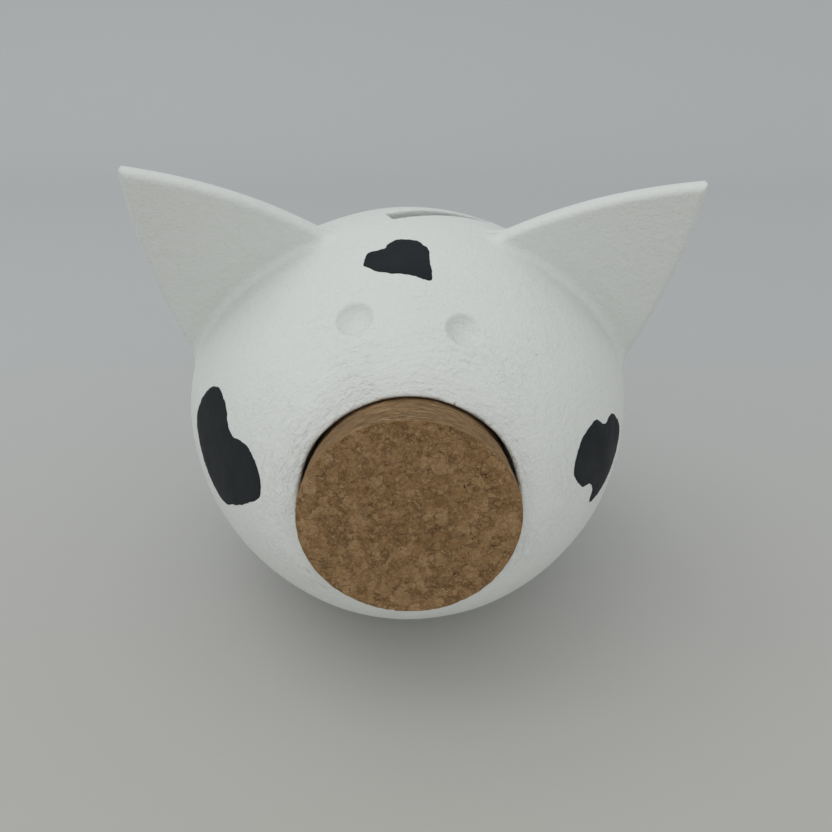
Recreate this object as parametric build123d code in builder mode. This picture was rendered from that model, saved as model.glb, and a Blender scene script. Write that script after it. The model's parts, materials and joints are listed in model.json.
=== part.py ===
from build123d import *
import math
import os

# Piggy bank: a hollow white ceramic ball that rests on a flat, with two slab ears, a coin slot in its
# back, two thumbed eyes, three painted spots and a big cork that is both the snout and the stopper.
# Frame: +Z up, the pig faces -Y, origin on the floor under the middle of the ball. Left and right
# are the pig's own, so its left is +X. Millimetres.

# ---- driving dimensions ----
half_width = 74.0  # widest half width of the ball before its taper
squash = 0.90  # height of every cross-section over its width
front_reach = 77.4  # from the ball's middle to its foremost point, snout hole ignored
back_reach = 69.7  # from the ball's middle to its hindmost point
taper = 0.177  # how much the ball narrows towards the snout
wall = 5.5  # ceramic wall
rest_height = 64.0  # height of the ball's middle above the floor
foot_fillet = 1.5  # rounding of the foot's rim

cork_tilt = 3.4  # the cork's axis climbs this many degrees towards the face
cork_face_y = -71.5  # where the cork's flat face crosses its axis
cork_axis_rise = 9.2  # height of that crossing above the ball's middle
cork_radius = 30.3  # at the face
cork_length = 34.0
cork_draft = 4.0  # taper of the plug, degrees a side
cork_chamfer = 1.0
cork_clearance = 0.3  # between the plug and its hole, all along the taper

slot_length = 35.0
slot_width = 7.0
slot_corner = 0.8
slot_centre = (10.8, 17.4)
slot_skew = 20.0  # the slot's left end lies further back

eye_radius = {"right": 6.6, "left": 6.0}  # radius of the fingertip that pressed each eye
eye_depth = {"right": 3.0, "left": 2.9}

ear_thickness = 5.5
ear_edge_fillet = 2.2
ear_top_bow = 2.6  # how far the top edge bows out of its chord
ear_outer_bow = 2.6
ear_root = 14.0  # how far the slab's outline runs on inside the ball before it is trimmed

paint_film = 0.25  # thickness of the black paint

# ---- places on the ball, measured from its middle ----
eye_spots = {"right": (-14.9, -35.9, 52.5), "left": (15.4, -39.0, 50.5)}
# both ears are given on the left side, and the right one is mirrored into its place
ear_points = {
    "right": {"inner": (24.4, 3.7, 63.6), "outer": (71.8, 3.7, 25.9), "tip": (78.0, -20.7, 89.8)},
    "left": {"inner": (26.6, 3.7, 62.5), "outer": (71.8, 3.7, 20.5), "tip": (82.4, -20.7, 85.4)},
}

middle = Vector(0, 0, rest_height)


def on_ball(point):
    """A place given from the ball's middle, in the pig's own frame."""
    return middle + Vector(*point)


def egg_outline(inset):
    """Closed outline of the ball seen from above, as (across, back) points."""
    steps = 48
    points = []
    for i in range(steps):
        turn = 2 * math.pi * i / steps
        reach = front_reach if math.cos(turn) > 0 else back_reach
        across = (half_width - inset) * math.sin(turn) * (1 - taper * math.cos(turn))
        points.append((across, -(reach - inset) * math.cos(turn)))
    return points


def egg(inset):
    """The ball as a solid, with its surface moved inwards by the inset."""
    with BuildPart() as ball:
        with BuildSketch(Plane.XY):
            with BuildLine():
                Spline(*egg_outline(inset), periodic=True)
            make_face()
            split(bisect_by=Plane.YZ, keep=Keep.TOP)
        revolve(axis=Axis.Y)
        scale(by=(1, 1, squash))
    return ball.part.moved(Location(middle))


outer_ball = egg(0)
inner_ball = egg(wall)
paint_ball = egg(-paint_film)

# ---- the cork's axis and the slot's plane ----
cork_out = Vector(0, -math.cos(math.radians(cork_tilt)), math.sin(math.radians(cork_tilt)))
cork_plane = Plane(on_ball((0, cork_face_y, cork_axis_rise)), x_dir=(1, 0, 0), z_dir=cork_out * -1)
slot_plane = Plane.XY.offset(rest_height + half_width * squash / 2)


def plug_radius(depth):
    """Radius of the tapered plug at a depth behind its face."""
    return cork_radius - depth * math.tan(math.radians(cork_draft))


# ---- body shell ----
hole_start = 20.0  # the hole's cutter starts this far outside the cork's face
with BuildPart() as body_shell:
    add(outer_ball)
    # flat foot
    split(bisect_by=Plane.XY, keep=Keep.TOP)
    foot_rim = body_shell.faces().sort_by(Axis.Z)[0].edges()
    fillet(foot_rim, foot_fillet)
    # chamber, with a floor as thick as the wall
    chamber = split(inner_ball, bisect_by=Plane.XY.offset(wall), keep=Keep.TOP, mode=Mode.PRIVATE)
    add(chamber, mode=Mode.SUBTRACT)
    # tapered snout hole
    with Locations(cork_plane.offset(-hole_start)):
        Cone(
            plug_radius(-hole_start) + cork_clearance,
            plug_radius(cork_length) + cork_clearance,
            hole_start + cork_length,
            align=(Align.CENTER, Align.CENTER, Align.MIN),
            mode=Mode.SUBTRACT,
        )
    # coin slot
    with BuildSketch(slot_plane):
        with Locations(slot_centre):
            RectangleRounded(slot_length, slot_width, slot_corner, rotation=slot_skew)
    extrude(amount=half_width, mode=Mode.SUBTRACT)
    # thumbed eyes
    for side, spot in eye_spots.items():
        lift = Vector(*spot).normalized() * (eye_radius[side] - eye_depth[side])
        with Locations(on_ball(spot) + lift):
            Sphere(eye_radius[side], mode=Mode.SUBTRACT)
body_shell.part.label = "body_shell"


# ---- ears ----
def ear_slab(inner, outer, tip):
    """A flat slab whose outline is a pointed triangle with bowed sides, trimmed to the ball."""
    inner, outer, tip = on_ball(inner), on_ball(outer), on_ball(tip)
    along = (outer - inner).normalized()
    facing = along.cross(tip - inner).normalized()
    plane = Plane(inner, x_dir=along, z_dir=facing)
    root_a = Vector(0, 0)
    root_b = Vector((outer - inner).length, 0)
    point = plane.to_local_coords(tip)
    point = Vector(point.X, point.Y)
    below = Vector(0, -ear_root)
    with BuildPart() as slab:
        with BuildSketch(plane):
            with BuildLine():
                SagittaArc(root_a, point, ear_top_bow)
                SagittaArc(point, root_b, ear_outer_bow)
                Polyline(root_b, root_b + below, root_a + below, root_a)
            make_face()
        extrude(amount=ear_thickness / 2, both=True)
        rim = [edge for edge in slab.edges() if edge.geom_type == GeomType.CIRCLE]
        fillet(rim, ear_edge_fillet)
        add(left_top_quarter, mode=Mode.SUBTRACT)
    return slab.part.solids().sort_by(SortBy.VOLUME)[-1]


ball_top = split(outer_ball, bisect_by=Plane.XY.offset(rest_height), keep=Keep.TOP, mode=Mode.PRIVATE)
left_top_quarter = split(ball_top, bisect_by=Plane.YZ, keep=Keep.TOP, mode=Mode.PRIVATE)
ears = {}
for side, points in ear_points.items():
    ear = ear_slab(**points)
    if side == "right":
        ear = mirror(ear, about=Plane.YZ, mode=Mode.PRIVATE).solid()
    ear.label = f"ear_{side}"
    ears[ear.label] = ear

# ---- cork stopper ----
with BuildPart() as cork_stopper:
    with Locations(cork_plane):
        Cone(
            plug_radius(0),
            plug_radius(cork_length),
            cork_length,
            align=(Align.CENTER, Align.CENTER, Align.MIN),
        )
    chamfer(cork_stopper.edges().filter_by(GeomType.CIRCLE), cork_chamfer)
cork_stopper.part.label = "cork_stopper"


# ---- painted spots ----
def paint_spot(plane, outline, reach):
    """A film of paint on the ball, where the outline meets it looking along the plane's normal."""
    with BuildPart() as film:
        with BuildSketch(plane):
            with BuildLine():
                Spline(*outline, periodic=True)
            make_face()
        extrude(amount=reach)
        add(paint_ball, mode=Mode.INTERSECT)
        add(outer_ball, mode=Mode.SUBTRACT)
    return film.part


cheek_turn = math.radians(35.5)  # the cheek spots' planes are turned this far from the side to the snout
cheek_across = math.sin(cheek_turn)
cheek_out = math.cos(cheek_turn)
right_plane = Plane(middle, x_dir=(cheek_across, -cheek_out, 0), z_dir=(-cheek_out, -cheek_across, 0))
left_plane = Plane(middle, x_dir=(cheek_across, cheek_out, 0), z_dir=(cheek_out, -cheek_across, 0))

# outlines: across and back on the forehead; up, and towards the snout on the right cheek or away
# from it on the left
forehead_outline = [
    (-12.8, -16.8), (-12.3, -13.6), (-10.9, -12.0), (-8.4, -11.6), (-6.7, -10.9), (-5.5, -8.6),
    (-3.6, -7.2), (-0.8, -7.0), (2.4, -7.6), (4.5, -9.6), (6.1, -12.2), (6.5, -18.0),
    (7.0, -23.7), (5.7, -25.0), (0.4, -23.0), (-7.2, -21.7), (-12.1, -18.5),
]
right_outline = [
    (-16.9, 23.1), (-9.5, 27.0), (-2.0, 24.8), (4.6, 19.5), (13.7, 19.2), (20.5, 15.0),
    (22.6, 8.2), (17.1, 2.9), (8.5, -2.2), (-0.5, -6.0), (-10.0, -1.8), (-17.6, 4.6), (-22.3, 12.6),
]
left_outline = [
    (18.3, 14.0), (22.8, 6.7), (16.6, -0.8), (6.6, -5.5), (-3.4, -5.2), (-2.8, -0.5), (-5.0, 2.5),
    (-10.5, 4.6), (-14.2, 11.0), (-8.0, 17.8), (1.9, 19.8), (8.2, 15.9), (13.0, 16.4),
]
spots = {
    "paint_spot_forehead": paint_spot(Plane.XY.offset(rest_height), forehead_outline, 2 * half_width),
    "paint_spot_right_cheek": paint_spot(right_plane, right_outline, 2 * half_width),
    "paint_spot_left_cheek": paint_spot(left_plane, left_outline, 2 * half_width),
}
for name, film in spots.items():
    film.label = name

# ---- one STEP per sub-part ----
os.makedirs("parts", exist_ok=True)
export_step(body_shell.part, "parts/body_shell.step")
export_step(cork_stopper.part, "parts/cork_stopper.step")
for name, ear in ears.items():
    export_step(ear, f"parts/{name}.step")
for name, film in spots.items():
    export_step(film, f"parts/{name}.step")
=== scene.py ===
import json
import math

import bmesh
import bpy
import numpy as np
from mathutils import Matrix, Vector
from mathutils.geometry import delaunay_2d_cdt


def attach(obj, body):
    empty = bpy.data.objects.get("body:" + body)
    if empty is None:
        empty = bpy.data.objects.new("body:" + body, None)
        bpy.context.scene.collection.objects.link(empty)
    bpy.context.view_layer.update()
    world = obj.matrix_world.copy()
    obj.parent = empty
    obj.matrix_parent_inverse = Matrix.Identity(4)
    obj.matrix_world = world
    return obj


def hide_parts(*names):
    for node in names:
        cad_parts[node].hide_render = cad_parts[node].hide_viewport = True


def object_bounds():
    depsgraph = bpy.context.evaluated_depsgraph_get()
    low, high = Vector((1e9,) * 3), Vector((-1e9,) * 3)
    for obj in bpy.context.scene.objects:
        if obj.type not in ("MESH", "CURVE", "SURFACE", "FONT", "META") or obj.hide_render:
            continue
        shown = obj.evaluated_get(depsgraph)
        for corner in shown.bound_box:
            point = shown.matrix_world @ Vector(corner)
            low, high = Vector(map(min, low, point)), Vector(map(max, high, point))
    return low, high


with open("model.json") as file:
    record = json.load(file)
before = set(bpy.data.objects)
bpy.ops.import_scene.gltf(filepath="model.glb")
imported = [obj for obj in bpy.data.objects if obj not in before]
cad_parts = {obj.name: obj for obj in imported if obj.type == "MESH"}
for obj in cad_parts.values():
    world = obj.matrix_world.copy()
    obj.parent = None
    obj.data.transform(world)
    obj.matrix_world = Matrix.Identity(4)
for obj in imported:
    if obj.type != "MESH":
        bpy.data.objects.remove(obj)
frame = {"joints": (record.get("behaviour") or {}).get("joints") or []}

# A white painted ceramic pig money box with a cork for its snout. +Z up, the pig faces -Y, and
# left and right are the pig's own, so its left is +X. Metres; MM turns millimetres into metres.

cad_box = [list(corner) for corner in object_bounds()]
MM = 0.001

# ---- the ball, as in the CAD model ----
HALF_WIDTH = 74 * MM
SQUASH = 0.90
FRONT_REACH = 77.4 * MM
BACK_REACH = 69.7 * MM
TAPER = 0.177
WALL = 5.5 * MM
MIDDLE = np.array([0, 0, 64 * MM])

# ---- the cork and its hole ----
CORK_OUT = np.array(frame["joints"][0]["axis"], float)
CORK_FACE = MIDDLE + np.array([0, -71.5, 9.2]) * MM
CORK_RADIUS = 30.3 * MM
CORK_LENGTH = 34 * MM
CORK_DRAFT = math.tan(math.radians(4))
HOLE_GAP = 0.35 * MM
HOLE_SLACK = 0.75 * MM  # extra gap where the hole is out of round, high on both sides of the cork
SLACK_HEIGHT = 0.55  # where that is widest, in cork radii above the axis
SLACK_SPREAD = 0.28
RIM_DIP = 1.0 * MM  # how far the ball's surface is drawn in round the hole
RIM_DIP_WIDTH = 5 * MM
HOLE_DEPTH = 50 * MM  # far enough to pass the wall, short of the ball's back

# ---- the coin slot ----
SLOT_CENTRE = MIDDLE + np.array([10.8, 17.4, 0]) * MM
SLOT_LENGTH = 35 * MM
SLOT_WIDTH = 7 * MM
SLOT_SKEW = math.radians(20)
SLOT_CORNER = 0.8 * MM

# ---- the eyes: where a fingertip was pressed, its radius and how deep it went ----
EYES = [
    {"at": (-14.9, -35.9, 52.5), "radius": 6.2, "depth": 3.5},
    {"at": (15.4, -39.0, 50.5), "radius": 5.8, "depth": 3.4},
]

# ---- the ears, from the ball's middle in millimetres ----
EAR_THICKNESS = 5.5 * MM
EAR_BOW = 2.6 * MM
EAR_ROOT = 14 * MM  # how far the slab's outline runs on inside the ball
EAR_RIM = 1.9 * MM  # rounding of the slab's edge
EAR_HOLLOW = 1.2 * MM  # depth of the slight hollow in the front face
EAR_BASE_SHARE = 1.12  # thickness at the base, as a share of the slab's
EAR_THINNING = 0.22  # how much of that share is lost by the tip
EAR_FRONT_BLEND = 3.5 * MM
EAR_BACK_BLEND = 5 * MM
EARS = {
    "ear_right": {
        "inner": (-24.4, 3.7, 63.6),
        "outer": (-71.8, 3.7, 25.9),
        "tip": (-78.0, -20.7, 89.8),
    },
    "ear_left": {
        "inner": (26.6, 3.7, 62.5),
        "outer": (71.8, 3.7, 20.5),
        "tip": (82.4, -20.7, 85.4),
    },
}

# ---- rounding where the ceramic's surfaces meet ----
FOOT_ROUND = 2.5 * MM
EYE_ROUND = 0.7 * MM
FLOOR_ROUND = 6 * MM  # inside, between the chamber's floor and its wall
SHELL_ROUND = 1.5 * MM
HOLE_ROUND = 1.4 * MM
SLOT_ROUND = 1.2 * MM

# ---- how the ceramic's skin is sampled and cut ----
CELL = 1.4 * MM  # spacing of the grid that the surface is taken from
GRID_MARGIN = 4 * MM  # how far the grid reaches beyond the CAD model
BEND_LIMIT = math.radians(9)  # faces that turn by more than this are split
EAR_CLEAR = 1.0 * MM  # an ear's skin starts this far off the ball
EAR_NEAR = 3 * MM  # and lies this close to its slab
CUT_DEPTH = 2.2 * MM  # how far the joint between the ball and an ear turns in before it is capped

# ---- the paint films ----
FILM_TOP = 0.14 * MM  # above the ceramic
FILM_UNDER = 0.30 * MM  # below the ceramic's surface, so that no gap shows
FILM_EDGE_DROP = 0.10 * MM  # how much lower the film's edge lies
FILM_STEP = 0.9 * MM  # spacing of the film's vertices
FILM_EDGE_STEP = 0.45 * MM  # spacing along its edge

# ---- colours, in linear light ----
WHITE_TONES = (0.690, 0.713, 0.688), (0.735, 0.755, 0.732)
WHITE_SPECK = (0.25, 0.23, 0.19)
BLACK_TONES = (0.0085, 0.0115, 0.0140), (0.0150, 0.0185, 0.0215)
CORK_TONES = [
    (0.30, (0.085, 0.042, 0.015)),
    (0.42, (0.190, 0.105, 0.043)),
    (0.52, (0.285, 0.170, 0.077)),
    (0.62, (0.370, 0.235, 0.118)),
    (0.74, (0.500, 0.360, 0.210)),
]
CORK_JOINT = (0.075, 0.038, 0.015)
CORK_CRACK = (0.014, 0.008, 0.004)
CORK_SANDED = (0.42, 0.29, 0.165)
CORK_STREAK = (0.105, 0.060, 0.026)
FLOOR_FRONT = (0.500, 0.492, 0.460)
FLOOR_BACK = (0.512, 0.528, 0.533)
SURROUND = (0.985, 0.995, 1.0)

# granules of the pressed cork: how many to the metre, and the share of them that is kept
GRANULES = [(950.0, 1.0), (560.0, 0.50), (300.0, 0.36), (205.0, 0.20)]

# ---- camera and studio, in metres ----
CAMERA_ELEVATION = math.radians(29.76)
CAMERA_DISTANCE = 286.5 * MM
CAMERA_AIM_RIGHT = 2.5 * MM  # the camera looks this far right of the ball's middle, and above it
CAMERA_AIM_UP = 0.6 * MM
LAMP_AIM = Vector((0, 0, 0.05))
SWEEP_HALF_WIDTH = 2.2
SWEEP_FRONT = -1.6
SWEEP_BEND = 0.55  # where the floor starts to curve up
SWEEP_RADIUS = 0.35
SWEEP_TOP = (1.6, 1.6)  # how far back and how high the sweep ends


# ---------------------------------------------------------------- repeatable noise
def lattice(ix, iy, iz, seed):
    """A repeatable number from 0 to 1 for each whole-number lattice point."""
    h = (ix * 374761393 + iy * 668265263 + iz * 1440670441 + seed * 974711) & 0xFFFFFFFF
    h = ((h ^ (h >> 13)) * 1274126177) & 0xFFFFFFFF
    return ((h ^ (h >> 16)) & 0xFFFFFF) / 0xFFFFFF


def noise(p, size, seed=0):
    """Smooth noise from -1 to 1 whose lumps are about `size` apart."""
    q = p / size
    base = np.floor(q).astype(np.int64)
    f = q - base
    f = f * f * (3 - 2 * f)
    total = np.zeros(len(p))
    for dx in (0, 1):
        for dy in (0, 1):
            for dz in (0, 1):
                weight = (
                    (f[:, 0] if dx else 1 - f[:, 0])
                    * (f[:, 1] if dy else 1 - f[:, 1])
                    * (f[:, 2] if dz else 1 - f[:, 2])
                )
                total += weight * lattice(base[:, 0] + dx, base[:, 1] + dy, base[:, 2] + dz, seed)
    return total * 2 - 1


# ---------------------------------------------------------------- the ceramic as a distance field
def blend_min(a, b, reach):
    """The lesser of two distances, with a fillet where they meet."""
    h = np.clip(0.5 + 0.5 * (b - a) / reach, 0, 1)
    return b * (1 - h) + a * h - reach * h * (1 - h)


def blend_max(a, b, reach):
    """The greater of two distances, with a rounded edge where they meet."""
    return -blend_min(-a, -b, reach)


def ball_gap(p):
    """Distance outside the ball, accurate near its surface."""
    x, y, z = (p - MIDDLE).T
    taper_length = (FRONT_REACH + BACK_REACH) / 2
    shrink = np.maximum(1 + TAPER * y / taper_length, 0.5)
    reach = np.where(y < 0, FRONT_REACH, BACK_REACH)
    across = x / (HALF_WIDTH * shrink)
    up = z / (HALF_WIDTH * SQUASH * shrink)
    along = y / reach
    size = np.sqrt(across**2 + up**2 + along**2) + 1e-9
    slope_x = across / (HALF_WIDTH * shrink) / size
    slope_z = up / (HALF_WIDTH * SQUASH * shrink) / size
    slope_y = (along / reach - (across**2 + up**2) * TAPER / taper_length / shrink) / size
    return (size - 1) / np.sqrt(slope_x**2 + slope_y**2 + slope_z**2 + 1e-9)


class Ear:
    """A pointed slab with bowed sides, in the plane through its two base corners and its tip."""

    def __init__(self, inner, outer, tip):
        inner, outer, tip = (MIDDLE + np.array(point) * MM for point in (inner, outer, tip))
        self.origin = inner
        self.along = (outer - inner) / np.linalg.norm(outer - inner)
        facing = np.cross(self.along, tip - inner)
        self.facing = facing / np.linalg.norm(facing)
        self.up = np.cross(self.facing, self.along)
        if self.facing[1] > 0:
            self.facing = -self.facing
        corners = [self.flat(point[None])[0, :2] for point in (inner, outer, tip)]
        self.height = corners[2][1]
        base_inner, base_outer, top = corners
        self.arcs = [self.arc(base_inner, top, base_outer), self.arc(top, base_outer, base_inner)]

    def flat(self, p):
        """Along the base, up the ear, and out of its front face."""
        q = p - self.origin
        return np.stack([q @ self.along, q @ self.up, q @ self.facing], axis=1)

    def arc(self, a, b, inside):
        """Centre and radius of the circle through a and b that bows away from the third corner."""
        half = np.linalg.norm(b - a) / 2
        radius = (half**2 + EAR_BOW**2) / (2 * EAR_BOW)
        normal = np.array([a[1] - b[1], b[0] - a[0]]) / (2 * half)
        if normal @ (inside - a) < 0:
            normal = -normal
        return (a + b) / 2 + normal * (radius - EAR_BOW), radius

    def gap(self, p):
        """Distance outside the slab."""
        u, v, w = self.flat(p).T
        climb = np.clip(v / self.height, 0, 1)
        w = w + EAR_HOLLOW * np.sin(climb * math.pi)
        outline = -(v + EAR_ROOT)
        for centre, radius in self.arcs:
            outline = np.maximum(outline, np.hypot(u - centre[0], v - centre[1]) - radius)
        thickness = EAR_THICKNESS * (EAR_BASE_SHARE - EAR_THINNING * climb)
        a = np.maximum(outline + EAR_RIM, 0)
        side = np.abs(w) - thickness / 2
        b = np.maximum(side + EAR_RIM, 0)
        return np.minimum(np.maximum(outline, side), -EAR_RIM) + np.hypot(a, b)


ears = {name: Ear(**corners) for name, corners in EARS.items()}


def cork_place(p):
    """Depth behind the cork's face, and distance from its axis."""
    q = p - CORK_FACE
    depth = -(q @ CORK_OUT)
    return depth, np.linalg.norm(q + depth[:, None] * CORK_OUT, axis=1)


def plug_radius(depth):
    """Radius of the tapered plug at a depth behind its face."""
    return CORK_RADIUS - depth * CORK_DRAFT


def hole_gap(p):
    """Distance outside the space of the snout hole."""
    depth, from_axis = cork_place(p)
    climb = (p[:, 2] - CORK_FACE[2]) / CORK_RADIUS
    slack = HOLE_SLACK * np.exp(-(((climb - SLACK_HEIGHT) / SLACK_SPREAD) ** 2))
    return np.maximum(from_axis - plug_radius(depth) - HOLE_GAP - slack, depth - HOLE_DEPTH)


def slot_gap(p):
    """Distance outside the space of the coin slot."""
    q = p - SLOT_CENTRE
    s = q[:, 0] * math.cos(SLOT_SKEW) + q[:, 1] * math.sin(SLOT_SKEW)
    t = -q[:, 0] * math.sin(SLOT_SKEW) + q[:, 1] * math.cos(SLOT_SKEW)
    a = np.abs(s) - SLOT_LENGTH / 2 + SLOT_CORNER
    b = np.abs(t) - SLOT_WIDTH / 2 + SLOT_CORNER
    outline = np.hypot(np.maximum(a, 0), np.maximum(b, 0)) + np.minimum(np.maximum(a, b), 0)
    return np.maximum(outline - SLOT_CORNER, -q[:, 2])


def hand_made(p):
    """Gentle unevenness of a surface finished by hand."""
    return 0.30 * MM * noise(p, 34 * MM, 3) + 0.10 * MM * noise(p, 11 * MM, 5)


def outer_gap(p):
    """Distance outside the pig's outer surface, slot, hole and chamber ignored."""
    ball = ball_gap(p) + hand_made(p)
    gap = blend_max(ball, -p[:, 2], FOOT_ROUND)
    depth, from_axis = cork_place(p)
    off_rim = (from_axis - plug_radius(depth)) / RIM_DIP_WIDTH
    gap = gap + RIM_DIP * np.exp(-(off_rim**2)) * (depth < HOLE_DEPTH)
    for ear in ears.values():
        front = ear.flat(p)[:, 2] > 0
        slab = ear.gap(p)
        in_front = blend_min(gap, slab, EAR_FRONT_BLEND)
        gap = np.where(front, in_front, blend_min(gap, slab, EAR_BACK_BLEND))
    for eye in EYES:
        at = np.array(eye["at"]) * MM
        lift = at / np.linalg.norm(at) * (eye["radius"] - eye["depth"]) * MM
        press = np.linalg.norm(p - MIDDLE - at - lift, axis=1) - eye["radius"] * MM
        gap = blend_max(gap, -press, EYE_ROUND)
    return gap


def ceramic_gap(p):
    """Distance outside the ceramic."""
    chamber = blend_max(ball_gap(p) + WALL, WALL - p[:, 2], FLOOR_ROUND)
    gap = blend_max(outer_gap(p), -chamber, SHELL_ROUND)
    gap = blend_max(gap, -hole_gap(p), HOLE_ROUND)
    return blend_max(gap, -slot_gap(p), SLOT_ROUND)


def slope(gap, p, step=0.05 * MM):
    """Unit direction in which the distance grows fastest."""
    g = np.empty_like(p)
    for axis in range(3):
        shift = np.zeros(3)
        shift[axis] = step
        g[:, axis] = gap(p + shift) - gap(p - shift)
    return g / (np.linalg.norm(g, axis=1, keepdims=True) + 1e-12)


def settle(gap, p, rounds=4):
    """Points moved onto the surface."""
    for _ in range(rounds):
        p = p - slope(gap, p) * np.clip(gap(p), -CELL, CELL)[:, None]
    return p


# ---------------------------------------------------------------- surface nets
def surface_net(gap, low, high, cell):
    """Vertices and quads of the surface where the distance is nought, one vertex to a grid cell."""
    axes = [np.arange(low[k], high[k] + cell, cell) for k in range(3)]
    counts = [len(a) for a in axes]
    values = np.empty(counts)
    for i, x in enumerate(axes[0]):
        yy, zz = np.meshgrid(axes[1], axes[2], indexing="ij")
        points = np.stack([np.full(yy.size, x), yy.ravel(), zz.ravel()], axis=1)
        values[i] = gap(points).reshape(yy.shape)
    inside = values < 0

    corners = [(i, j, k) for i in (0, 1) for j in (0, 1) for k in (0, 1)]
    cells = [n - 1 for n in counts]
    held = sum(
        inside[i : i + cells[0], j : j + cells[1], k : k + cells[2]].astype(np.int8)
        for i, j, k in corners
    )
    mixed = np.argwhere((held > 0) & (held < 8))
    number = np.full(cells, -1)
    number[tuple(mixed.T)] = np.arange(len(mixed))

    total = np.zeros((len(mixed), 3))
    crossings = np.zeros(len(mixed))
    for a in corners:
        for axis in range(3):
            if a[axis]:
                continue
            b = tuple(a[k] + (k == axis) for k in range(3))
            va = values[tuple((mixed + a).T)]
            vb = values[tuple((mixed + b).T)]
            cut = (va < 0) != (vb < 0)
            place = mixed + np.array(a, float)
            place[:, axis] += np.where(cut, va / np.where(cut, va - vb, 1), 0)
            total[cut] += place[cut]
            crossings += cut
    vertices = np.array(low) + total / crossings[:, None] * cell

    quads = []
    for axis in range(3):
        u, v = [k for k in range(3) if k != axis]
        near = [slice(1, -1)] * 3
        far = [slice(1, -1)] * 3
        near[axis], far[axis] = slice(0, -1), slice(1, None)
        flips = np.argwhere(inside[tuple(near)] != inside[tuple(far)])
        flips[:, u] += 1
        flips[:, v] += 1
        starts_inside = inside[tuple(flips.T)]
        around = []
        for du, dv in ((-1, -1), (0, -1), (0, 0), (-1, 0)):
            place = flips.copy()
            place[:, u] += du
            place[:, v] += dv
            around.append(number[tuple(place.T)])
        ring = np.stack(around, axis=1)
        turned = starts_inside if axis != 1 else ~starts_inside
        ring[~turned] = ring[~turned][:, ::-1]
        quads.append(ring)
    return vertices, np.concatenate(quads)


# ---------------------------------------------------------------- mesh helpers
def add_object(name, data):
    """An object in the scene for a mesh, camera or light."""
    item = bpy.data.objects.new(name, data)
    bpy.context.scene.collection.objects.link(item)
    return item


def point_at(item, place, aim):
    """Stands a camera or lamp at the place, looking at the aim."""
    item.location = place
    item.rotation_mode = "QUATERNION"
    item.rotation_quaternion = (aim - Vector(place)).to_track_quat("-Z", "Y")


def new_mesh(name, vertices, faces):
    mesh = bpy.data.meshes.new(name)
    mesh.from_pydata([tuple(v) for v in vertices], [], [tuple(f) for f in faces])
    return mesh


def smooth_piece(name, vertices, faces, material):
    """An object of the vertices and faces, shaded smooth."""
    mesh = new_mesh(name, vertices, faces)
    mesh.update()
    mesh.shade_smooth()
    mesh.materials.append(material)
    return add_object(name, mesh)


def mesh_of(name, bm, material):
    """The finished bmesh as a smooth mesh with its material."""
    mesh = bpy.data.meshes.new(name)
    bm.to_mesh(mesh)
    bm.free()
    mesh.shade_smooth()
    mesh.materials.append(material)
    return mesh


def refine_bends(vertices, faces, limit):
    """Splits the faces where the surface turns by more than the limit from one face to the next."""
    mesh = new_mesh("refine", vertices, faces)
    bm = bmesh.new()
    bm.from_mesh(mesh)
    bm.normal_update()
    bent = set()
    for edge in bm.edges:
        if len(edge.link_faces) == 2 and edge.calc_face_angle(0) > limit:
            for face in edge.link_faces:
                bent.update(face.verts)
    edges = [edge for edge in bm.edges if edge.verts[0] in bent and edge.verts[1] in bent]
    bmesh.ops.subdivide_edges(bm, edges=edges, cuts=1, use_grid_fill=True)
    bm.verts.index_update()
    fine = np.array([v.co[:] for v in bm.verts])
    polygons = [[v.index for v in face.verts] for face in bm.faces]
    bm.free()
    bpy.data.meshes.remove(mesh)
    return fine, polygons


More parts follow.
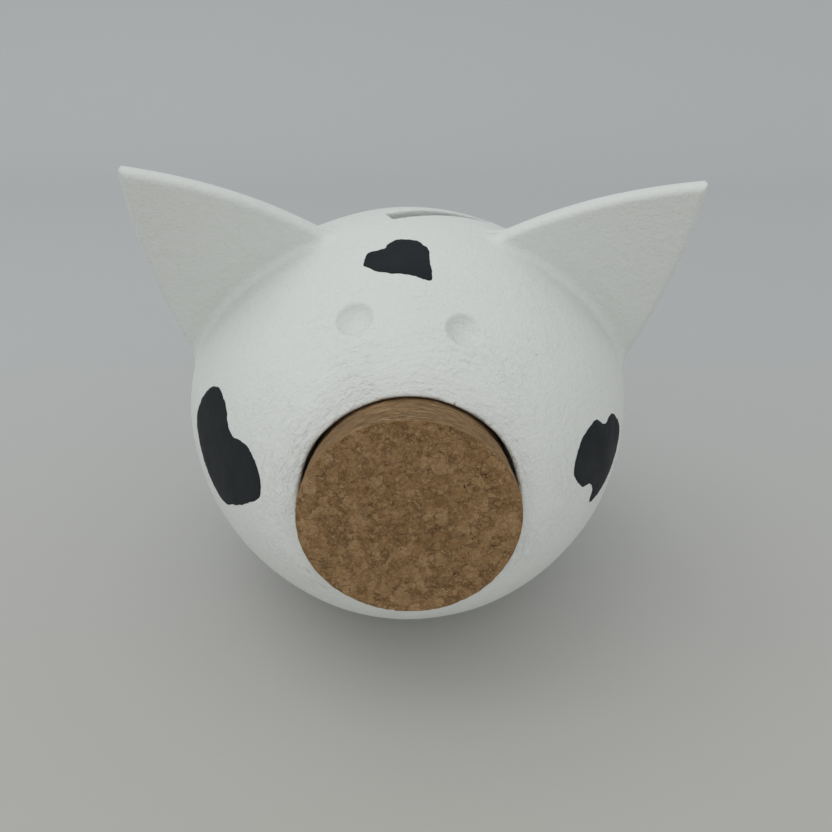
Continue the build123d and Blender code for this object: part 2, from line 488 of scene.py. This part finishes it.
# ---------------------------------------------------------------- materials
class Nodes:
    """Short calls for building a material's node tree."""

    def __init__(self, name):
        self.material = bpy.data.materials.new(name)
        self.material.use_nodes = True
        self.tree = self.material.node_tree
        self.shader = self.tree.nodes["Principled BSDF"]
        coordinates = self.tree.nodes.new("ShaderNodeTexCoord")
        self.place = coordinates.outputs["Object"]

    def link(self, value, socket):
        """A node's output is linked, and a plain value is set on the socket."""
        if isinstance(value, bpy.types.NodeSocket):
            self.tree.links.new(value, socket)
        else:
            socket.default_value = value

    def add(self, kind, output=0, settings=None, **inputs):
        node = self.tree.nodes.new("ShaderNode" + kind)
        for key, value in (settings or {}).items():
            setattr(node, key, value)
        for key, value in inputs.items():
            self.link(value, node.inputs[key.replace("_", " ")])
        return node.outputs[output]

    def math(self, operation, *values):
        node = self.tree.nodes.new("ShaderNodeMath")
        node.operation = operation
        for socket, value in zip(node.inputs, values):
            self.link(value, socket)
        return node.outputs[0]

    def vector(self, operation, *values, output=0):
        node = self.tree.nodes.new("ShaderNodeVectorMath")
        node.operation = operation
        for socket, value in zip(node.inputs, values):
            self.link(value, socket)
        return node.outputs[output]

    def noise(self, scale, detail=2.0, roughness=0.5, place=None, output="Fac", distortion=0.0):
        """Noise with `scale` lumps to the metre."""
        place = place or self.place
        return self.add("TexNoise", output, Vector=place, Scale=scale, Detail=detail,
                        Roughness=roughness, Distortion=distortion)

    def ramp(self, value, stops):
        node = self.tree.nodes.new("ShaderNodeValToRGB")
        self.link(value, node.inputs["Fac"])
        points = node.color_ramp.elements
        while len(points) < len(stops):
            points.new(0.5)
        for point, (position, colour) in zip(points, stops):
            point.position = position
            point.color = (*colour, 1)
        return node.outputs["Color"]

    def parts(self, kind, value):
        """The separate parts of a place (kind "XYZ") or of a colour (kind "Color")."""
        node = self.tree.nodes.new("ShaderNodeSeparate" + kind)
        self.link(value, node.inputs[0])
        return node.outputs

    def fade(self, value, start, end, low=0.0, high=1.0):
        """A number that runs from low to high as the value runs from start to end."""
        return self.add("MapRange", "Result", settings={"interpolation_type": "SMOOTHSTEP"},
                        Value=value, From_Min=start, From_Max=end, To_Min=low, To_Max=high)

    def mix(self, factor, a, b):
        node = self.tree.nodes.new("ShaderNodeMix")
        node.data_type = "RGBA"
        self.link(factor, node.inputs["Factor"])
        for value, socket in ((a, node.inputs[6]), (b, node.inputs[7])):
            self.link((*value, 1) if isinstance(value, tuple) else value, socket)
        return node.outputs[2]

    def bump(self, height, distance, strength=1.0, under=None):
        """Bumps whose height runs over the distance, in metres."""
        node = self.tree.nodes.new("ShaderNodeBump")
        self.link(height, node.inputs["Height"])
        node.inputs["Distance"].default_value = distance
        node.inputs["Strength"].default_value = strength
        if under is not None:
            self.link(under, node.inputs["Normal"])
        return node.outputs["Normal"]

    def finish(self, **inputs):
        for key, value in inputs.items():
            socket = self.shader.inputs[key.replace("_", " ")]
            self.link((*value, 1) if isinstance(value, tuple) else value, socket)
        return self.material


def round_snout(nodes):
    """Distance from the cork's axis, angle round it, and distance out from the cork's face."""
    local = nodes.vector("SUBTRACT", nodes.place, tuple(CORK_FACE))
    x, y, z = nodes.parts("XYZ", local)
    along = nodes.vector("DOT_PRODUCT", local, tuple(CORK_OUT), output="Value")
    z = nodes.math("ADD", z, nodes.math("MULTIPLY", y, float(CORK_OUT[2])))
    squares = nodes.math("ADD", nodes.math("MULTIPLY", x, x), nodes.math("MULTIPLY", z, z))
    distance = nodes.math("SQRT", squares)
    return distance, nodes.math("ARCTAN2", z, x), along


def white_paint():
    """Matt white paint, brushed on a fine-grained cast surface."""
    n = Nodes("white_paint")
    distance, angle, along = round_snout(n)
    # ripples run round the snout, fade out beyond the eyes and stop short of the ball's back
    round_it = n.add("CombineXYZ", X=distance, Y=n.math("MULTIPLY", angle, 0.013),
                     Z=n.math("MULTIPLY", along, 0.6))
    patches = n.fade(n.noise(60, 2), 0.35, 0.65, 0.35, 1.0)
    near_snout = n.math("MULTIPLY", n.fade(distance, 0.032, 0.068, 1.0, 0.10), patches)
    near_snout = n.math("MULTIPLY", near_snout, n.fade(along, -0.080, -0.045))
    ripple = n.noise(780, 3, 0.6, round_it, distortion=0.5)
    colour = n.mix(n.noise(18, 3), *WHITE_TONES)
    speck = n.math("LESS_THAN", n.add("TexVoronoi", "Distance", Vector=n.place, Scale=105.0), 0.028)
    rare = n.math("GREATER_THAN", n.noise(33, 1), 0.55)
    speck = n.math("MULTIPLY", n.math("MULTIPLY", speck, rare), 0.5)
    colour = n.mix(speck, colour, WHITE_SPECK)
    normal = n.bump(ripple, 0.00100, 1.0)
    n.link(near_snout, normal.node.inputs["Strength"])
    normal = n.bump(n.noise(1050, 2, 0.6), 0.00030, 0.9, normal)
    normal = n.bump(n.noise(260, 3, 0.55), 0.00060, 0.6, normal)
    rough = n.fade(n.noise(60, 2), 0.3, 0.7, 0.70, 0.84)
    return n.finish(Base_Color=colour, Roughness=rough, Specular_IOR_Level=0.3, Normal=normal)


def black_paint():
    """Matt black paint with faint brush strokes."""
    n = Nodes("black_paint")
    strokes = n.add("Mapping", Vector=n.place, Scale=(1.0, 1.0, 0.2), Rotation=(0.4, 0.7, 0.2))
    colour = n.mix(n.noise(260, 3, 0.6, strokes), *BLACK_TONES)
    normal = n.bump(n.noise(700, 3, 0.6, strokes), 0.00012, 0.7)
    normal = n.bump(n.noise(1000, 2), 0.00006, 0.6, normal)
    rough = n.fade(n.noise(90, 2), 0.3, 0.7, 0.62, 0.78)
    return n.finish(Base_Color=colour, Roughness=rough, Specular_IOR_Level=0.22, Normal=normal)


def granules(n, place, scales):
    """Pressed cork granules of several sizes: a tone for each, and the distance to its edge."""
    tone, edge = None, None
    for scale, share in scales:
        cell = n.add("TexVoronoi", "Color", Vector=place, Scale=scale)
        pick, shade, _ = n.parts("Color", cell)
        rim = n.add("TexVoronoi", "Distance", settings={"feature": "DISTANCE_TO_EDGE"},
                    Vector=place, Scale=scale)
        rim = n.math("DIVIDE", rim, scale)
        if tone is None:
            tone, edge = shade, rim
            continue
        chosen = n.math("GREATER_THAN", pick, 1 - share)
        rest = n.math("SUBTRACT", 1.0, chosen)
        tone = n.math("ADD", n.math("MULTIPLY", chosen, shade), n.math("MULTIPLY", rest, tone))
        edge = n.math("ADD", n.math("MULTIPLY", chosen, rim), n.math("MULTIPLY", rest, edge))
    return tone, edge


def cork():
    """Agglomerated cork: pressed granules of many sizes, a cut face and a sanded, streaky side."""
    n = Nodes("cork")
    distance, angle, along = round_snout(n)
    normal = n.add("NewGeometry", "Normal")
    facing = n.vector("DOT_PRODUCT", normal, tuple(CORK_OUT), output="Value")
    side = n.fade(n.math("ABSOLUTE", facing), 0.80, 0.45)
    smear = n.add("CombineXYZ", X=n.math("MULTIPLY", angle, 0.0085), Y=along,
                  Z=n.math("MULTIPLY", distance, 0.4))
    place = n.mix(side, n.place, smear)
    shove = n.noise(520, 3, 0.6, place, output="Color")
    wobble = n.vector("MULTIPLY_ADD", shove, (0.0021,) * 3, place)
    tone, edge = granules(n, wobble, GRANULES)
    grain = n.noise(2100, 4, 0.8, place)
    soft = n.noise(160, 3, 0.6, place)
    fine = n.noise(900, 3, 0.7, place)
    tone = n.math("ADD", n.math("MULTIPLY", tone, 0.13), n.math("MULTIPLY", grain, 0.52))
    tone = n.math("ADD", tone, n.math("MULTIPLY", fine, 0.40))
    tone = n.math("ADD", tone, n.math("MULTIPLY", n.math("SUBTRACT", soft, 0.5), 0.12))
    colour = n.ramp(tone, CORK_TONES)
    # dark joints between granules, strong in some places and lost in others
    joint = n.fade(edge, 0.00002, 0.00022, 1.0, 0.0)
    lost = n.fade(n.noise(300, 2, 0.5, place), 0.38, 0.62, 0.10, 0.55)
    joint = n.math("MULTIPLY", joint, lost)
    colour = n.mix(joint, colour, CORK_JOINT)
    # short open cracks
    vein = n.math("ABSOLUTE", n.math("SUBTRACT", n.noise(330, 2, 0.5, wobble), 0.5))
    here = n.fade(n.noise(210, 1), 0.62, 0.66)
    crack = n.math("MULTIPLY", n.fade(vein, 0.004, 0.010, 1.0, 0.0), here)
    colour = n.mix(n.math("MULTIPLY", crack, 0.9), colour, CORK_CRACK)
    # streaks along the sanded side
    streak_place = n.add("CombineXYZ", X=n.math("MULTIPLY", angle, 0.004), Y=along, Z=0.0)
    streak = n.fade(n.noise(1300, 4, 0.7, streak_place), 0.38, 0.60)
    colour = n.mix(n.math("MULTIPLY", side, 0.30), colour, CORK_SANDED)
    dark_streak = n.math("SUBTRACT", 1.0, streak)
    dark_streak = n.math("MULTIPLY", dark_streak, n.math("MULTIPLY", side, 0.65))
    colour = n.mix(dark_streak, colour, CORK_STREAK)
    height = n.math("SUBTRACT", n.math("MULTIPLY", grain, 0.6), n.math("MULTIPLY", joint, 0.5))
    height = n.math("ADD", height, n.math("MULTIPLY", tone, 0.5))
    height = n.math("SUBTRACT", height, crack)
    normal = n.bump(height, 0.00040, 0.9)
    return n.finish(Base_Color=colour, Roughness=0.9, Specular_IOR_Level=0.2, Normal=normal)


def pale_floor():
    """Plain matt sweep, a little warmer in front than behind."""
    n = Nodes("pale_floor")
    _, y, _ = n.parts("XYZ", n.place)
    colour = n.mix(n.fade(y, -0.25, 0.35), FLOOR_FRONT, FLOOR_BACK)
    normal = n.bump(n.noise(600, 2), 0.00008, 0.3)
    return n.finish(Base_Color=colour, Roughness=0.7, Specular_IOR_Level=0.3, Normal=normal)


# ---------------------------------------------------------------- pieces
def ceramic_piece(name, vertices, normals, faces, material):
    """A closed piece cut out of the ceramic's skin, its cuts turned inwards and capped inside."""
    used = sorted({i for face in faces for i in face})
    bm = bmesh.new()
    corners = {i: bm.verts.new(vertices[i]) for i in used}
    number = {corner: i for i, corner in corners.items()}
    for face in faces:
        bm.faces.new([corners[i] for i in face])
    sunk = {}
    for edge in [edge for edge in bm.edges if edge.is_boundary]:
        a = edge.link_loops[0].vert
        b = edge.other_vert(a)
        for corner in (a, b):
            if corner not in sunk:
                sunk[corner] = bm.verts.new(corner.co - Vector(normals[number[corner]]) * CUT_DEPTH)
                used.append(number[corner])
        bm.faces.new([b, a, sunk[a], sunk[b]])
    rims = [edge for edge in bm.edges if edge.is_boundary]
    caps = bmesh.ops.holes_fill(bm, edges=rims, sides=0)["faces"]
    bmesh.ops.triangulate(bm, faces=caps)
    mesh = mesh_of(name, bm, material)
    mesh.normals_split_custom_set_from_vertices([tuple(v) for v in normals[used]])
    return add_object(name, mesh)


def make_ceramic(material):
    """The ball and its two ears, cut apart at the ears' roots where the skin leaves the ball."""
    low = np.array(cad_box[0]) - GRID_MARGIN
    high = np.array(cad_box[1]) + GRID_MARGIN
    vertices, faces = surface_net(ceramic_gap, low, high, CELL)
    vertices = settle(ceramic_gap, vertices)
    vertices, faces = refine_bends(vertices, faces, BEND_LIMIT)
    vertices = settle(ceramic_gap, vertices)
    normals = slope(ceramic_gap, vertices)
    middles = np.array([vertices[list(face)].mean(axis=0) for face in faces])
    owner = np.full(len(faces), "body_shell", dtype=object)
    for node, ear in ears.items():
        owner[(ball_gap(middles) > EAR_CLEAR) & (ear.gap(middles) < EAR_NEAR)] = node
    pieces = {}
    for node in ("body_shell", *ears):
        own = [list(face) for face, belongs in zip(faces, owner == node) if belongs]
        pieces[node] = ceramic_piece(node + "_skin", vertices, normals, own, material)
    return pieces


def cork_radius_at(angle, depth):
    """Radius of the plug with its sanded unevenness and a few chips out of its rim."""
    ring = np.stack([np.cos(angle), np.sin(angle), depth / (12 * MM)], axis=1)
    chip = np.clip(noise(ring, 0.055, 12) - 0.62, 0, 1) * np.clip(1 - depth / (2.5 * MM), 0, 1)
    return plug_radius(depth) + 0.10 * MM * noise(ring, 0.35, 11) - 1.6 * MM * chip


def make_cork(material):
    """The plug turned about its axis, with a softly worn rim and fine relief on its face."""
    segments = 480
    rim = 0.7 * MM
    face_rings, rim_rows, side_rows, back_rim_rows, back_rings = 70, 6, 60, 4, 24
    # each row has its share of the flat face's radius, then its bulge beyond that and its depth,
    # both in rims
    profile = []
    for i in range(1, face_rings + 1):
        profile.append((i / face_rings, 0.0, 0.0))
    for i in range(1, rim_rows + 1):
        turn = i / rim_rows * math.pi / 2
        profile.append((1.0, math.sin(turn), 1 - math.cos(turn)))
    for i in range(1, side_rows + 1):
        profile.append((1.0, 1.0, 1 + (CORK_LENGTH - 2 * rim) / rim * i / side_rows))
    end_depth = CORK_LENGTH / rim
    for i in range(1, back_rim_rows + 1):
        turn = i / back_rim_rows * math.pi / 2
        profile.append((1.0, math.cos(turn), end_depth - 1 + math.sin(turn)))
    for i in range(1, back_rings):
        profile.append((1 - i / back_rings, 0.0, end_depth))
    side = np.array([1.0, 0, 0])
    up = np.cross(side, -CORK_OUT)
    angle = np.arange(segments) * 2 * math.pi / segments
    spokes = np.cos(angle)[:, None] * side + np.sin(angle)[:, None] * up
    rows = []
    for share, bulge, deep in profile:
        depth = np.full(segments, deep * rim)
        radius = (cork_radius_at(angle, depth) - rim) * share + bulge * rim
        points = CORK_FACE - CORK_OUT * depth[:, None]
        rows.append(points + radius[:, None] * spokes)
    cork_back = CORK_FACE - CORK_OUT * CORK_LENGTH
    vertices = np.concatenate(rows + [CORK_FACE[None], cork_back[None]])
    fine_relief = 0.12 * MM
    relief = fine_relief * noise(vertices, 1.3 * MM, 21) + 0.10 * MM * noise(vertices, 3.2 * MM, 22)
    depth, from_axis = cork_place(vertices)
    outward = (vertices - CORK_FACE) + depth[:, None] * CORK_OUT
    outward = outward / (np.linalg.norm(outward, axis=1, keepdims=True) + 1e-9)
    on_face = np.clip((plug_radius(depth) - from_axis) / rim, 0, 1)
    off_end = np.where(depth < CORK_LENGTH / 2, 1, -1)[:, None] * CORK_OUT
    push = outward * (1 - on_face)[:, None] + off_end * on_face[:, None]
    vertices = vertices + push * (relief - fine_relief)[:, None]
    faces = []
    for row in range(len(rows) - 1):
        a = row * segments
        b = a + segments
        for i in range(segments):
            j = (i + 1) % segments
            faces.append((a + i, b + i, b + j, a + j))
    first, last = len(vertices) - 2, len(vertices) - 1
    end = (len(rows) - 1) * segments
    for i in range(segments):
        j = (i + 1) % segments
        faces.append((first, i, j))
        faces.append((last, end + j, end + i))
    return smooth_piece("cork_plug", vertices, faces, material)


def closed_curve(points, spacing):
    """Points along a smooth closed curve through the given ones."""
    points = np.array(points, float) * MM
    count = len(points)
    curve = []
    for i in range(count):
        p0, p1, p2, p3 = (points[(i + k) % count] for k in (-1, 0, 1, 2))
        steps = max(2, int(np.linalg.norm(p2 - p1) / spacing))
        for t in np.arange(steps) / steps:
            squared = (2 * p0 - 5 * p1 + 4 * p2 - p3) * t**2
            cubed = (3 * p1 - p0 - 3 * p2 + p3) * t**3
            curve.append(0.5 * (2 * p1 + (p2 - p0) * t + squared + cubed))
    return np.array(curve)


def make_spot(name, outline, x_dir, normal, material):
    """A film of paint that follows the ball, with a slightly ragged brushed edge."""
    x_dir, normal = np.array(x_dir, float), np.array(normal, float)
    y_dir = np.cross(normal, x_dir)
    edge = closed_curve(outline, FILM_EDGE_STEP)
    edge3 = np.column_stack([edge, np.zeros(len(edge))])
    along = np.roll(edge, -1, axis=0) - np.roll(edge, 1, axis=0)
    out = np.stack([along[:, 1], -along[:, 0]], axis=1)
    out /= np.linalg.norm(out, axis=1, keepdims=True)
    ragged = 0.20 * MM * noise(edge3, 1.6 * MM, 31) + 0.12 * MM * noise(edge3, 0.7 * MM, 32)
    edge = edge + out * ragged[:, None]
    low, high = edge.min(axis=0), edge.max(axis=0)
    row_step = FILM_STEP * 0.87  # rows of near-equilateral triangles
    grid = [
        Vector((x + (0.5 * FILM_STEP if row % 2 else 0), y))
        for row, y in enumerate(np.arange(low[1], high[1], row_step))
        for x in np.arange(low[0], high[0], FILM_STEP)
    ]
    loop = [Vector(p) for p in edge]
    count = len(loop)
    flat, _, triangles, *_ = delaunay_2d_cdt(
        loop + grid, [(i, (i + 1) % count) for i in range(count)], [], 1, 0.05 * MM
    )
    flat = np.array([v[:] for v in flat])
    used = sorted({i for t in triangles for i in t})
    index = {old: new for new, old in enumerate(used)}
    triangles = [[index[i] for i in t] for t in triangles]
    flat = flat[used]
    # the flat film starts clear of the ball and is lowered onto it in damped steps
    points = MIDDLE + flat[:, :1] * x_dir + flat[:, 1:] * y_dir + normal * 2 * HALF_WIDTH
    drop_rounds, longest_drop, damping = 60, 5 * MM, 0.8
    for _ in range(drop_rounds):
        drop = np.clip(outer_gap(points), -longest_drop, longest_drop)
        points = points - normal * drop[:, None] * damping
    away = slope(outer_gap, points)
    a, b, c = (points[i] for i in triangles[0])
    if np.dot(np.cross(b - a, c - a), away[triangles[0][0]]) < 0:
        triangles = [t[::-1] for t in triangles]
    bm = bmesh.new()
    top = [bm.verts.new(p) for p in points + away * FILM_TOP]
    bottom = [bm.verts.new(p) for p in points - away * FILM_UNDER]
    for t in triangles:
        bm.faces.new([top[i] for i in t])
        bm.faces.new([bottom[i] for i in reversed(t)])
    sides = [(i, j) for t in triangles for i, j in zip(t, t[1:] + t[:1])]
    known = set(sides)
    for i, j in sides:
        if (j, i) not in known:
            bm.faces.new([top[j], top[i], bottom[i], bottom[j]])
            top[i].co -= Vector(away[i] * FILM_EDGE_DROP)
    return add_object(name, mesh_of(name, bm, material))


# ---------------------------------------------------------------- camera, light and floor
def make_camera():
    """The photograph's view, from in front and above."""
    climb, run = math.sin(CAMERA_ELEVATION), math.cos(CAMERA_ELEVATION)
    looking = Vector((0, run, -climb))
    upwards = Vector((0, climb, run))
    data = bpy.data.cameras.new("camera")
    data.lens = 36.0
    data.sensor_width = 36.0
    data.clip_start = 0.01
    camera = add_object("camera", data)
    place = Vector(MIDDLE) - looking * CAMERA_DISTANCE
    aim = Vector(MIDDLE) + Vector((CAMERA_AIM_RIGHT, 0, 0)) + upwards * CAMERA_AIM_UP
    point_at(camera, place, aim)
    bpy.context.scene.camera = camera


def make_light(name, place, size, power):
    data = bpy.data.lights.new(name, "AREA")
    data.shape = "DISK"
    data.size = size
    data.energy = power
    point_at(add_object(name, data), place, LAMP_AIM)


def make_studio():
    """A pale floor that sweeps up behind, two soft lights and an even pale surround."""
    profile = [(SWEEP_FRONT, 0.0), (SWEEP_BEND, 0.0)]
    bend_steps = 16
    for i in range(1, bend_steps + 1):
        turn = math.radians(70) * i / bend_steps
        back = SWEEP_BEND + SWEEP_RADIUS * math.sin(turn)
        profile.append((back, SWEEP_RADIUS * (1 - math.cos(turn))))
    profile.append(SWEEP_TOP)
    vertices = [(side * SWEEP_HALF_WIDTH, y, z) for y, z in profile for side in (-1, 1)]
    faces = [(2 * i, 2 * i + 1, 2 * i + 3, 2 * i + 2) for i in range(len(profile) - 1)]
    floor = smooth_piece("studio_floor", vertices, faces, pale_floor())

    world = bpy.data.worlds.new("surround")
    world.use_nodes = True
    background = world.node_tree.nodes["Background"]
    background.inputs["Color"].default_value = (*SURROUND, 1)
    background.inputs["Strength"].default_value = 0.74
    bpy.context.scene.world = world
    make_light("overhead", place=(-0.45, -0.05, 0.95), size=0.9, power=1.4)
    make_light("front_fill", place=(-0.15, -1.0, 0.22), size=0.8, power=0.45)
    bpy.context.scene.view_settings.view_transform = "Standard"


make_camera()
make_studio()

white = white_paint()
black = black_paint()

for node, piece in make_ceramic(white).items():
    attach(piece, "bank")
    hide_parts(node)

plug = make_cork(cork())
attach(plug, "cork")
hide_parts("cork_stopper")

# the cheek spots' planes are turned this far from the side towards the snout
TURN = math.radians(35.5)
# outlines in millimetres: across and back on the forehead; up, and towards the snout on the right
# cheek or away from it on the left
SPOTS = {
    "paint_spot_forehead": {
        "x_dir": (1, 0, 0),
        "normal": (0, 0, 1),
        "outline": [
            (-12.8, -16.8), (-12.3, -13.6), (-10.9, -12.0), (-8.4, -11.6), (-6.7, -10.9),
            (-5.5, -8.6), (-3.6, -7.2), (-0.8, -7.0), (2.4, -7.6), (4.5, -9.6), (6.1, -12.2),
            (6.5, -18.0), (7.0, -23.7), (5.7, -25.0), (0.4, -23.0), (-7.2, -21.7), (-12.1, -18.5),
        ],
    },
    "paint_spot_right_cheek": {
        "x_dir": (math.sin(TURN), -math.cos(TURN), 0),
        "normal": (-math.cos(TURN), -math.sin(TURN), 0),
        "outline": [
            (-16.9, 23.1), (-9.5, 27.0), (-2.0, 24.8), (4.6, 19.5), (13.7, 19.2), (20.5, 15.0),
            (22.6, 8.2), (17.1, 2.9), (8.5, -2.2), (-0.5, -6.0), (-10.0, -1.8), (-17.6, 4.6),
            (-22.3, 12.6),
        ],
    },
    "paint_spot_left_cheek": {
        "x_dir": (math.sin(TURN), math.cos(TURN), 0),
        "normal": (math.cos(TURN), -math.sin(TURN), 0),
        "outline": [
            (18.3, 14.0), (22.8, 6.7), (16.6, -0.8), (6.6, -5.5), (-3.4, -5.2), (-2.8, -0.5),
            (-5.0, 2.5), (-10.5, 4.6), (-14.2, 11.0), (-8.0, 17.8), (1.9, 19.8), (8.2, 15.9),
            (13.0, 16.4),
        ],
    },
}
for node, spot in SPOTS.items():
    film = make_spot(node + "_film", spot["outline"], spot["x_dir"], spot["normal"], black)
    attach(film, "bank")
    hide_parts(node)
